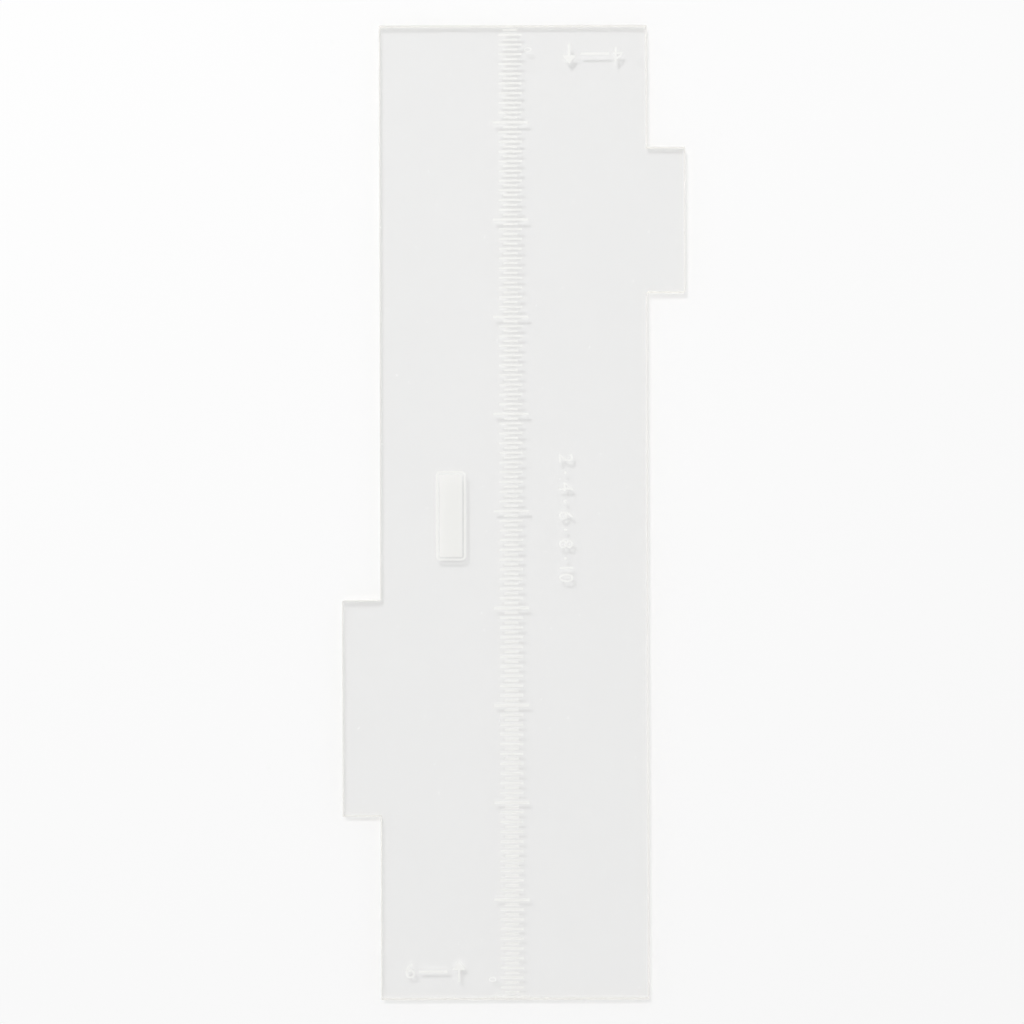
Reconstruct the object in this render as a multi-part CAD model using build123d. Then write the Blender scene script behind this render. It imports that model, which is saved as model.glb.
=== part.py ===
"""Icing smoother: a clear acrylic sheet with two side tabs and an engraved inch scale.

The sheet lies flat on its back face. Its long way runs along Y, its width along X and its
thickness along Z, with the origin at the centre of the back face. Each end is a foot that
stands on the turntable: the -Y end for a six-inch cake and the +Y end for a four-inch cake.
A tab stands out of each long side. It is centred at half the height of its foot's cake, so
that one turn of the cake leaves a band sunk all round the icing.

The scale is engraved in the front face, line by line, from the four-inch foot down. Each
groove has a thin floor of frosted acrylic, which is what makes the line show white in the
clear sheet.
"""

import os

from build123d import *

# The sheet, in millimetres
sheet_length = 254.8
body_width = 70.0
sheet_thickness = 3.0
corner_radius = 0.25
inner_corner_radius = 0.15
edge_break = 0.06

# The tabs, and the heights of the cakes that their feet are made for
tab_reach = 10.0
four_inch_tab_height = 37.8
four_inch_cake_height = 101.6
six_inch_tab_height = 56.4
six_inch_cake_height = 152.4

# The scale: a line every twentieth of an inch, a little left of the body's centre line
line_pitch = 1.27
scale_shift = 0.75
foot_margin = 0.6
inch_line_length = 9.2
inch_line_width = 0.6
tenth_line_length = 6.1
twentieth_line_length = 3.7
line_width = 0.5
groove_depth = 0.06
frost_thickness = 0.04
frost_clearance = 0.01
cut_overrun = 1.0

# How many line spaces make an inch and a tenth of an inch
spaces_per_inch = 20
spaces_per_tenth = 2

# Worked out from the sizes above
four_inch_foot = sheet_length / 2
six_inch_foot = -sheet_length / 2
tab_edge = body_width / 2 + tab_reach
groove_floor = sheet_thickness - groove_depth


def tab(side, centre, height):
    """A tab with the half of the body behind it. Side is 1 for the right and -1 for the left."""
    return Pos(side * tab_edge / 2, centre) * Rectangle(tab_edge, height)


def is_tip(corner):
    """Whether a corner points outwards, at a foot or at the edge of a tab."""
    at_tab_edge = abs(corner.X) > tab_edge - corner_radius
    at_foot = abs(corner.Y) > sheet_length / 2 - corner_radius
    return at_tab_edge or at_foot


def sheet_outline():
    """The outline that is cut from the flat sheet, its corners hardly rounded."""
    four_inch_tab = tab(1, four_inch_foot - four_inch_cake_height / 2, four_inch_tab_height)
    six_inch_tab = tab(-1, six_inch_foot + six_inch_cake_height / 2, six_inch_tab_height)
    outline = Rectangle(body_width, sheet_length) + four_inch_tab + six_inch_tab
    outline = fillet([c for c in outline.vertices() if not is_tip(c)], inner_corner_radius)
    return fillet([c for c in outline.vertices() if is_tip(c)], corner_radius)


def line_kind(number):
    """Which kind of line stands this many spaces from the four-inch foot."""
    if number % spaces_per_inch == 0:
        return "inch"
    if number % spaces_per_tenth == 0:
        return "tenth"
    return "twentieth"


def scale_lines(kind, length, width):
    """The plan of every line of one kind. The last line stands clear of the six-inch foot."""
    line = Rectangle(length, width)
    line_count = int((sheet_length - foot_margin) / line_pitch)
    numbers = [n for n in range(1, line_count + 1) if line_kind(n) == kind]
    return Sketch() + [Pos(-scale_shift, four_inch_foot - n * line_pitch) * line for n in numbers]


def clear_sheet(kinds):
    """The cut sheet, its edges broken on both faces and its front face engraved."""
    sheet = extrude(sheet_outline(), sheet_thickness)
    faces = sheet.faces().sort_by(Axis.Z)
    sheet = chamfer(faces[0].edges() + faces[-1].edges(), edge_break)
    for kind, (length, width) in kinds.items():
        plan = Pos(0, 0, groove_floor) * scale_lines(kind, length, width)
        sheet -= extrude(plan, groove_depth + cut_overrun)
    return sheet


def frosted_floors(kind, length, width):
    """The frosted floors of the grooves of one kind, each a hair clear of its groove."""
    room = 2 * frost_clearance
    plan = Pos(0, 0, groove_floor + frost_clearance) * scale_lines(kind, length - room, width - room)
    return extrude(plan, frost_thickness)


def main():
    kinds = {
        "inch": (inch_line_length, inch_line_width),
        "tenth": (tenth_line_length, line_width),
        "twentieth": (twentieth_line_length, line_width),
    }
    os.makedirs("parts", exist_ok=True)
    export_step(clear_sheet(kinds), "parts/clear_sheet.step")
    for kind, (length, width) in kinds.items():
        export_step(frosted_floors(kind, length, width), f"parts/{kind}_lines.step")


main()
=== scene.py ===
import math

import bpy
from mathutils import Matrix, Vector


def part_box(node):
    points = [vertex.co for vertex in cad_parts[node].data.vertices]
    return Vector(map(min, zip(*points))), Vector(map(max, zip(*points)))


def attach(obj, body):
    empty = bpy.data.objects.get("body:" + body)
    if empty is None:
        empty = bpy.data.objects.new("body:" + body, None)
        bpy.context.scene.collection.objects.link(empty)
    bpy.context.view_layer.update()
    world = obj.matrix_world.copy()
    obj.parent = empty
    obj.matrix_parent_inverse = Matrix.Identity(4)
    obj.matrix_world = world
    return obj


# Lengths are in metres and angles in radians, unless a comment says otherwise
MM = 0.001
QUARTER_TURN = math.pi / 2
HALF_TURN = math.pi
WHITE = (1, 1, 1, 1)

# The camera looks straight down on the engraved face. Its sensor is in millimetres
FIELD_WIDTH = 267.6 * MM
CAMERA_DISTANCE = 380 * MM
CAMERA_PLACE = (-0.52 * MM, 0.15 * MM)
CAMERA_TURN = math.radians(-0.15)
SENSOR_WIDTH = 36.0

# The lamp beyond the upper left of the sheet, small enough for crisp shadows
LAMP_SIDE = Vector((-0.48, 0.877, 0.0))
LAMP_TILT = math.radians(30.7)
LAMP_DISTANCE = 1.5
LAMP_WIDTH = 0.3
LAMP_HEIGHT = 0.2
LAMP_SHARE = 0.25

# The watts of an area lamp that make a white floor, one metre straight below it, fully white
WHITE_AT_ONE_METRE = 4 * math.pi

# The pale room, and the share of the way up at which it starts to dim
ROOM_SIDES = 0.95
ROOM_OVERHEAD = 0.42
DIM_FROM_SHARE = 0.5

# The floor: matt up to the near distance, and as bright as the room's sides past the far one
FLOOR_COLOUR = (0.55, 0.55, 0.55, 1)
FLOOR_GLOW = 0.39
FLOOR_NEAR = 0.15
FLOOR_FAR = 0.45
FLOOR_SIZE = 40.0
FLOOR_GAP = 0.05 * MM

# How many times light may bounce on its way through the sheet
LIGHT_BOUNCES = 48

# Clear acrylic: its polished faces, faintly hazed, with tiny specks
ACRYLIC_IOR = 1.49
FACE_COLOUR = (0.946, 0.946, 0.942, 1)
HAZE_COLOUR = (0.936, 0.936, 0.932, 1)
HAZE_SIZE = 18 * MM
HAZE_DETAIL = 4
SPECK_SPACING = 14 * MM
SPECK_SIZE = 0.16 * MM
SPECK_ROUGHNESS = 0.7

# The colour of the light that goes through it to its shadow, at each surface
SHADOW_COLOUR = (0.94, 0.94, 0.938, 1)

# Its laser-cut edges: warm and dull, with fine upright lines
EDGE_STEEPNESS = 0.5
EDGE_COLOUR = (0.95, 0.935, 0.89, 1)
EDGE_ROUGHNESS = (0.15, 0.4)
EDGE_FROST = 0.8
EDGE_FROST_THROUGH = 0.65
EDGE_FROST_COLOUR = (0.98, 0.97, 0.94, 1)
STRIATION_SIZES = (0.22 * MM, 0.22 * MM, 6 * MM)
STRIATION_DETAIL = 2
STRIATION_DEPTH = 0.006 * MM

# Frosted engraving
FROST_COLOUR = (0.985, 0.985, 0.975, 1)
FROST_DEEP_COLOUR = (0.955, 0.955, 0.945, 1)
FROST_THROUGH = 0.6
FROST_GRAIN = 0.12 * MM
FROST_DETAIL = 3
FROST_DEPTH = 0.003 * MM

# The signs: thin frosted shapes on the front face. All their sizes are in millimetres
SIGN_THICKNESS = 0.02
SIGN_LIFT = 0.01
STROKE = 0.6
NUMERAL_HEIGHT_SHARE = 0.73
NUMERAL_WIDTH_SHARE = 0.5
ROUND_STEPS = 8

# A height sign at each foot: a numeral, a rule and an arrow
HEIGHT_SIGN_SIDE = 20.7
HEIGHT_SIGN_FROM_FOOT = 7.5
HEIGHT_SIGN_LENGTH = 15.6
HEIGHT_SIGN_GAP = 1.2
HEIGHT_NUMERAL_SIZE = 4.2
ARROW_HEIGHT = 5.4
ARROW_WIDTH = 3.6
ARROW_HEAD = 2.3

# The zeros at the two ends of the scale
ZERO_SIZE = 2.0
LOWER_ZERO_SIDE = -5.8
LOWER_ZERO_FROM_FOOT = 5.4
UPPER_ZERO_SIDE = 3.8
UPPER_ZERO_FROM_FOOT = 6.4

# The blank panel left of the scale
PANEL_PLACE = (-16.5, -0.8)
PANEL_WIDTH = 7.8
PANEL_HEIGHT = 23.4
PANEL_CORNER = 1.2
PANEL_RIM = 0.5
PANEL_GAP = 0.45

# The row of numbers right of the scale
NUMBER_ROW = ("2", "4", "6", "8", "10")
NUMBER_ROW_PLACE = (13.4, -0.8)
NUMBER_ROW_LENGTH = 30.0
NUMBER_ROW_SIZE = 3.8
DOT_SIZE = 0.8

# Where Blender's Mix node keeps its two inputs and its output, by what it mixes
MIX_SOCKETS = {"FLOAT": (2, 3, 0), "RGBA": (6, 7, 2)}

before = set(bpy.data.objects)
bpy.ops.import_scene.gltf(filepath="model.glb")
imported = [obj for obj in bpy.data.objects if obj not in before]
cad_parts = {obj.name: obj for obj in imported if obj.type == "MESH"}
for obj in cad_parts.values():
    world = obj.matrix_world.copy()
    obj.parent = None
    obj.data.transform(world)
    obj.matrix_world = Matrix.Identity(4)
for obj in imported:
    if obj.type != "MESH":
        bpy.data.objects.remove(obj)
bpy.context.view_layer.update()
scene = bpy.context.scene
SHEET_LOW, SHEET_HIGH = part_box("clear_sheet")


def put(tree, kind, values=None, **settings):
    """Adds a shader node. Values go to its inputs by name or number, and a socket is linked."""
    node = tree.nodes.new(kind)
    for name, value in settings.items():
        setattr(node, name, value)
    for key, value in (values or {}).items():
        if isinstance(value, bpy.types.NodeSocket):
            tree.links.new(value, node.inputs[key])
        else:
            node.inputs[key].default_value = value
    return node


def math_node(tree, operation, first, second=0.0):
    """The result of one sum on two values or sockets."""
    return put(tree, "ShaderNodeMath", {0: first, 1: second}, operation=operation).outputs[0]


def mix(tree, kind, share, first, second):
    """Mixes two numbers or colours: all of the first at a share of 0, all of the second at 1."""
    one, two, result = MIX_SOCKETS[kind]
    values = {0: share, one: first, two: second}
    return put(tree, "ShaderNodeMix", values, data_type=kind).outputs[result]


def mix_shaders(tree, share, first, second):
    return put(tree, "ShaderNodeMixShader", {0: share, 1: first, 2: second}).outputs[0]


def ramp(tree, value, low, high):
    """Rises smoothly from 0 to 1 while the value goes from low to high."""
    values = {"Value": value, "From Min": low, "From Max": high}
    return put(tree, "ShaderNodeMapRange", values, interpolation_type="SMOOTHSTEP").outputs[0]


def noise(tree, place, sizes, detail):
    """Noise whose features have these sizes, in metres, along X, Y and Z."""
    scaled = put(tree, "ShaderNodeVectorMath", {0: place, 1: sizes}, operation="DIVIDE").outputs[0]
    values = {"Vector": scaled, "Scale": 1, "Detail": detail}
    return put(tree, "ShaderNodeTexNoise", values).outputs["Fac"]


def new_material(name):
    made = bpy.data.materials.new(name)
    made.use_nodes = True
    made.node_tree.nodes.clear()
    return made, made.node_tree


def dull_shader(tree, colour, through, bump=None):
    """A matt surface that lets this share of the light through to its other side."""
    face = {"Color": colour, "Normal": bump} if bump else {"Color": colour}
    matt = put(tree, "ShaderNodeBsdfDiffuse", face).outputs[0]
    behind = put(tree, "ShaderNodeBsdfTranslucent", {"Color": colour}).outputs[0]
    return mix_shaders(tree, through, matt, behind)


def acrylic():
    """Clear acrylic with polished faces and dull, lined edges. Steep surfaces are the edges.

    Shadow rays go straight through the clear share, so that marks cast crisp shadows below it.
    """
    made, tree = new_material("clear_acrylic")
    coordinates = put(tree, "ShaderNodeTexCoord").outputs
    place = coordinates["Object"]
    upright = put(tree, "ShaderNodeSeparateXYZ", {0: coordinates["Normal"]}).outputs["Z"]
    edge = math_node(tree, "LESS_THAN", math_node(tree, "ABSOLUTE", upright), EDGE_STEEPNESS)

    haze = noise(tree, place, (HAZE_SIZE, HAZE_SIZE, HAZE_SIZE), HAZE_DETAIL)
    face_colour = mix(tree, "RGBA", haze, FACE_COLOUR, HAZE_COLOUR)
    cells = {"Vector": place, "Scale": 1 / SPECK_SPACING}
    from_speck = put(tree, "ShaderNodeTexVoronoi", cells, voronoi_dimensions="2D").outputs["Distance"]
    speck = math_node(tree, "LESS_THAN", from_speck, SPECK_SIZE / SPECK_SPACING)
    face_roughness = math_node(tree, "MULTIPLY", speck, SPECK_ROUGHNESS)

    striation = noise(tree, place, STRIATION_SIZES, STRIATION_DETAIL)
    edge_roughness = mix(tree, "FLOAT", striation, *EDGE_ROUGHNESS)
    ridges = math_node(tree, "MULTIPLY", math_node(tree, "MULTIPLY", striation, edge), STRIATION_DEPTH)

    clear = put(
        tree,
        "ShaderNodeBsdfPrincipled",
        {
            "Base Color": mix(tree, "RGBA", edge, face_colour, EDGE_COLOUR),
            "Roughness": mix(tree, "FLOAT", edge, face_roughness, edge_roughness),
            "IOR": ACRYLIC_IOR,
            "Transmission Weight": 1,
            "Normal": put(tree, "ShaderNodeBump", {"Height": ridges, "Distance": 1}).outputs[0],
        },
    ).outputs[0]
    straight = put(tree, "ShaderNodeBsdfTransparent", {"Color": SHADOW_COLOUR}).outputs[0]
    shadow_ray = put(tree, "ShaderNodeLightPath").outputs["Is Shadow Ray"]
    clear = mix_shaders(tree, shadow_ray, clear, straight)
    dull = dull_shader(tree, EDGE_FROST_COLOUR, EDGE_FROST_THROUGH)
    surface = mix_shaders(tree, math_node(tree, "MULTIPLY", edge, EDGE_FROST), clear, dull)
    put(tree, "ShaderNodeOutputMaterial", {"Surface": surface})
    return made


def frosted():
    """The white floor that a laser leaves: matt, a little see-through and finely grained."""
    made, tree = new_material("frosted_engraving")
    place = put(tree, "ShaderNodeTexCoord").outputs["Object"]
    grain = noise(tree, place, (FROST_GRAIN, FROST_GRAIN, FROST_GRAIN), FROST_DETAIL)
    colour = mix(tree, "RGBA", grain, FROST_COLOUR, FROST_DEEP_COLOUR)
    bump = put(tree, "ShaderNodeBump", {"Height": grain, "Distance": FROST_DEPTH}).outputs[0]
    put(tree, "ShaderNodeOutputMaterial", {"Surface": dull_shader(tree, colour, FROST_THROUGH, bump)})
    return made


def floor_material():
    """A matt floor with a glow that the camera, mirrors and clear things see, and that lights no more.

    Past the far distance it looks as bright as the room. It isn't sampled as a lamp.
    """
    made, tree = new_material("floor")
    path = put(tree, "ShaderNodeLightPath").outputs
    seen = math_node(tree, "MAXIMUM", path["Is Camera Ray"], path["Is Glossy Ray"])
    seen = math_node(tree, "MAXIMUM", seen, path["Is Transmission Ray"])
    place = put(tree, "ShaderNodeTexCoord").outputs["Object"]
    distance = put(tree, "ShaderNodeVectorMath", {0: place}, operation="LENGTH").outputs["Value"]
    far = ramp(tree, distance, FLOOR_NEAR, FLOOR_FAR)

    matt = put(tree, "ShaderNodeBsdfDiffuse", {"Color": FLOOR_COLOUR}).outputs[0]
    glow_strength = math_node(tree, "MULTIPLY", seen, FLOOR_GLOW)
    glow = put(tree, "ShaderNodeEmission", {"Color": WHITE, "Strength": glow_strength}).outputs[0]
    near_floor = put(tree, "ShaderNodeAddShader", {0: matt, 1: glow}).outputs[0]
    far_floor = put(tree, "ShaderNodeEmission", {"Color": WHITE, "Strength": ROOM_SIDES}).outputs[0]
    surface = mix_shaders(tree, math_node(tree, "MULTIPLY", seen, far), near_floor, far_floor)
    put(tree, "ShaderNodeOutputMaterial", {"Surface": surface})
    made.cycles.emission_sampling = "NONE"
    return made


def add_camera():
    data = bpy.data.cameras.new("camera")
    data.sensor_width = SENSOR_WIDTH
    data.lens = SENSOR_WIDTH * CAMERA_DISTANCE / FIELD_WIDTH
    camera = bpy.data.objects.new("camera", data)
    scene.collection.objects.link(camera)
    camera.location = (*CAMERA_PLACE, SHEET_HIGH.z + CAMERA_DISTANCE)
    camera.rotation_euler = (0, 0, CAMERA_TURN)
    scene.camera = camera


def add_lamp():
    """The lamp, as strong as its share of the light. The sheet doesn't mirror it."""
    towards = LAMP_SIDE.normalized() * math.sin(LAMP_TILT) + Vector((0, 0, math.cos(LAMP_TILT)))
    data = bpy.data.lights.new("soft_lamp", "AREA")
    data.shape = "RECTANGLE"
    data.size = LAMP_WIDTH
    data.size_y = LAMP_HEIGHT
    data.energy = LAMP_SHARE * WHITE_AT_ONE_METRE * LAMP_DISTANCE**2 / math.cos(LAMP_TILT)
    lamp = bpy.data.objects.new("soft_lamp", data)
    scene.collection.objects.link(lamp)
    lamp.location = towards * LAMP_DISTANCE
    lamp.rotation_euler = towards.to_track_quat("Z", "Y").to_euler()
    lamp.visible_camera = False
    lamp.visible_glossy = False
    lamp.visible_transmission = False


def add_room():
    """A pale room, bright at its sides and dimmer overhead, where the camera is.

    It isn't sampled as a lamp, because its light would then pass the clear sheet twice over.
    """
    world = bpy.data.worlds.new("room")
    scene.world = world
    world.cycles.sampling_method = "NONE"
    world.use_nodes = True
    tree = world.node_tree
    tree.nodes.clear()
    place = put(tree, "ShaderNodeTexCoord").outputs["Generated"]
    height = put(tree, "ShaderNodeSeparateXYZ", {0: place}).outputs["Z"]
    strength = mix(tree, "FLOAT", ramp(tree, height, DIM_FROM_SHARE, 1), ROOM_SIDES, ROOM_OVERHEAD)
    light = put(tree, "ShaderNodeBackground", {"Color": WHITE, "Strength": strength}).outputs[0]
    put(tree, "ShaderNodeOutputWorld", {"Surface": light})


def add_floor():
    bpy.ops.mesh.primitive_plane_add(size=FLOOR_SIZE, location=(0, 0, SHEET_LOW.z - FLOOR_GAP))
    floor = bpy.context.object
    floor.name = "floor"
    floor.data.materials.append(floor_material())


def add_sign(name, curve, place, turn=0.0):
    """Lays a flat curve, in millimetres, on the front face as a thin frosted mesh."""
    curve.extrude = SIGN_THICKNESS / 2
    drawn = bpy.data.objects.new(name, curve)
    scene.collection.objects.link(drawn)
    filled = drawn.evaluated_get(bpy.context.evaluated_depsgraph_get())
    mesh = bpy.data.meshes.new_from_object(filled)
    bpy.data.objects.remove(drawn)
    mesh.transform(Matrix.Scale(MM, 4))
    mesh.materials.clear()
    mesh.materials.append(FROSTED)
    piece = bpy.data.objects.new(name, mesh)
    scene.collection.objects.link(piece)
    lift = SIGN_LIFT + SIGN_THICKNESS / 2
    piece.location = (place[0] * MM, place[1] * MM, SHEET_HIGH.z + lift * MM)
    piece.rotation_euler.z = turn
    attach(piece, "root")


def numerals(words, size):
    """Plain numerals of this height, about their centre."""
    curve = bpy.data.curves.new(words, "FONT")
    curve.body = words
    curve.align_x = "CENTER"
    curve.align_y = "CENTER"
    curve.size = size / NUMERAL_HEIGHT_SHARE
    return curve


def shape(outlines):
    """A filled flat shape from closed outlines. An outline inside another one is a hole in it."""
    curve = bpy.data.curves.new("shape", "CURVE")
    curve.dimensions = "2D"
    curve.fill_mode = "BOTH"
    for outline in outlines:
        spline = curve.splines.new("POLY")
        spline.points.add(len(outline) - 1)
        for point, (x, y) in zip(spline.points, outline):
            point.co = (x, y, 0, 1)
        spline.use_cyclic_u = True
    return curve


def bar(width, height):
    """The outline of a rectangle about its centre."""
    return [(x * width / 2, y * height / 2) for x, y in ((-1, -1), (1, -1), (1, 1), (-1, 1))]


def round_box(width, height, radius):
    """The outline of a rectangle with round corners, about its centre.

    The first corner is the lower left one, so its arc starts half a turn round.
    """
    centres = bar(width - 2 * radius, height - 2 * radius)
    points = []
    for corner, (x, y) in enumerate(centres):
        for step in range(ROUND_STEPS + 1):
            angle = HALF_TURN + (corner + step / ROUND_STEPS) * QUARTER_TURN
            points.append((x + radius * math.cos(angle), y + radius * math.sin(angle)))
    return points


def arrow():
    """The outline of an arrow that points along +Y, about its centre."""
    tip = ARROW_HEIGHT / 2
    neck = tip - ARROW_HEAD
    side = ARROW_WIDTH / 2
    shaft = STROKE / 2
    left = [(-side, neck), (-shaft, neck), (-shaft, -tip)]
    right = [(-x, y) for x, y in reversed(left)]
    return [(0, tip), *left, *right]


def add_height_sign(name, numeral, way):
    """A numeral, a rule and an arrow that points away from the foot.

    Way is 1 at the -Y foot and -1 at the +Y foot.
    """
    foot = way * SHEET_LOW.y / MM
    turn = 0.0 if way == 1 else HALF_TURN
    numeral_width = HEIGHT_NUMERAL_SIZE * NUMERAL_WIDTH_SHARE
    rule_length = HEIGHT_SIGN_LENGTH - numeral_width - ARROW_WIDTH - 2 * HEIGHT_SIGN_GAP
    start = -HEIGHT_SIGN_LENGTH / 2
    rule_start = start + numeral_width + HEIGHT_SIGN_GAP
    marks = {
        "numeral": (numerals(numeral, HEIGHT_NUMERAL_SIZE), start + numeral_width / 2),
        "rule": (shape([bar(rule_length, STROKE)]), rule_start + rule_length / 2),
        "arrow": (shape([arrow()]), -start - ARROW_WIDTH / 2),
    }
    for part, (curve, along) in marks.items():
        place = (way * (along - HEIGHT_SIGN_SIDE), foot + way * HEIGHT_SIGN_FROM_FOOT)
        add_sign(f"{name}_{part}", curve, place, turn)


def add_panel():
    """A blank frosted panel inside a thin frosted frame."""
    outlines = []
    for inset in (0, PANEL_RIM, PANEL_RIM + PANEL_GAP):
        width = PANEL_WIDTH - 2 * inset
        height = PANEL_HEIGHT - 2 * inset
        outlines.append(round_box(width, height, PANEL_CORNER - inset))
    add_sign("blank_panel", shape(outlines), PANEL_PLACE)


def add_number_row():
    """A row of plain numbers with dots between them, read from the four-inch foot down."""
    spacing = NUMBER_ROW_LENGTH / (len(NUMBER_ROW) - 1)
    x, middle = NUMBER_ROW_PLACE
    for index, words in enumerate(NUMBER_ROW):
        y = middle + NUMBER_ROW_LENGTH / 2 - index * spacing
        add_sign(f"row_number_{words}", numerals(words, NUMBER_ROW_SIZE), (x, y), -QUARTER_TURN)
        if index:
            dot = shape([round_box(DOT_SIZE, DOT_SIZE, DOT_SIZE / 2)])
            add_sign(f"row_dot_{index}", dot, (x, y + spacing / 2))


def add_signs():
    add_height_sign("six_inch_sign", "6", 1)
    add_height_sign("four_inch_sign", "4", -1)
    lower_zero = (LOWER_ZERO_SIDE, SHEET_LOW.y / MM + LOWER_ZERO_FROM_FOOT)
    upper_zero = (UPPER_ZERO_SIDE, SHEET_HIGH.y / MM - UPPER_ZERO_FROM_FOOT)
    add_sign("lower_zero", numerals("0", ZERO_SIZE), lower_zero, QUARTER_TURN)
    add_sign("upper_zero", numerals("0", ZERO_SIZE), upper_zero, -QUARTER_TURN)
    add_panel()
    add_number_row()


def dress_nodes():
    """Gives each CAD node its material."""
    for name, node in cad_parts.items():
        chosen = CLEAR if name == "clear_sheet" else FROSTED
        for slot in node.material_slots:
            slot.material = chosen


def set_renderer():
    """Lets light through the clear sheet be followed to its end, without blur or a cap."""
    scene.view_settings.view_transform = "Standard"
    scene.cycles.use_adaptive_sampling = False
    scene.cycles.use_denoising = True
    scene.cycles.blur_glossy = 0.0
    scene.cycles.sample_clamp_indirect = 0.0
    scene.cycles.max_bounces = LIGHT_BOUNCES
    scene.cycles.glossy_bounces = LIGHT_BOUNCES
    scene.cycles.transmission_bounces = LIGHT_BOUNCES


add_camera()
add_lamp()
add_room()
add_floor()
CLEAR = acrylic()
FROSTED = frosted()
dress_nodes()
add_signs()
set_renderer()
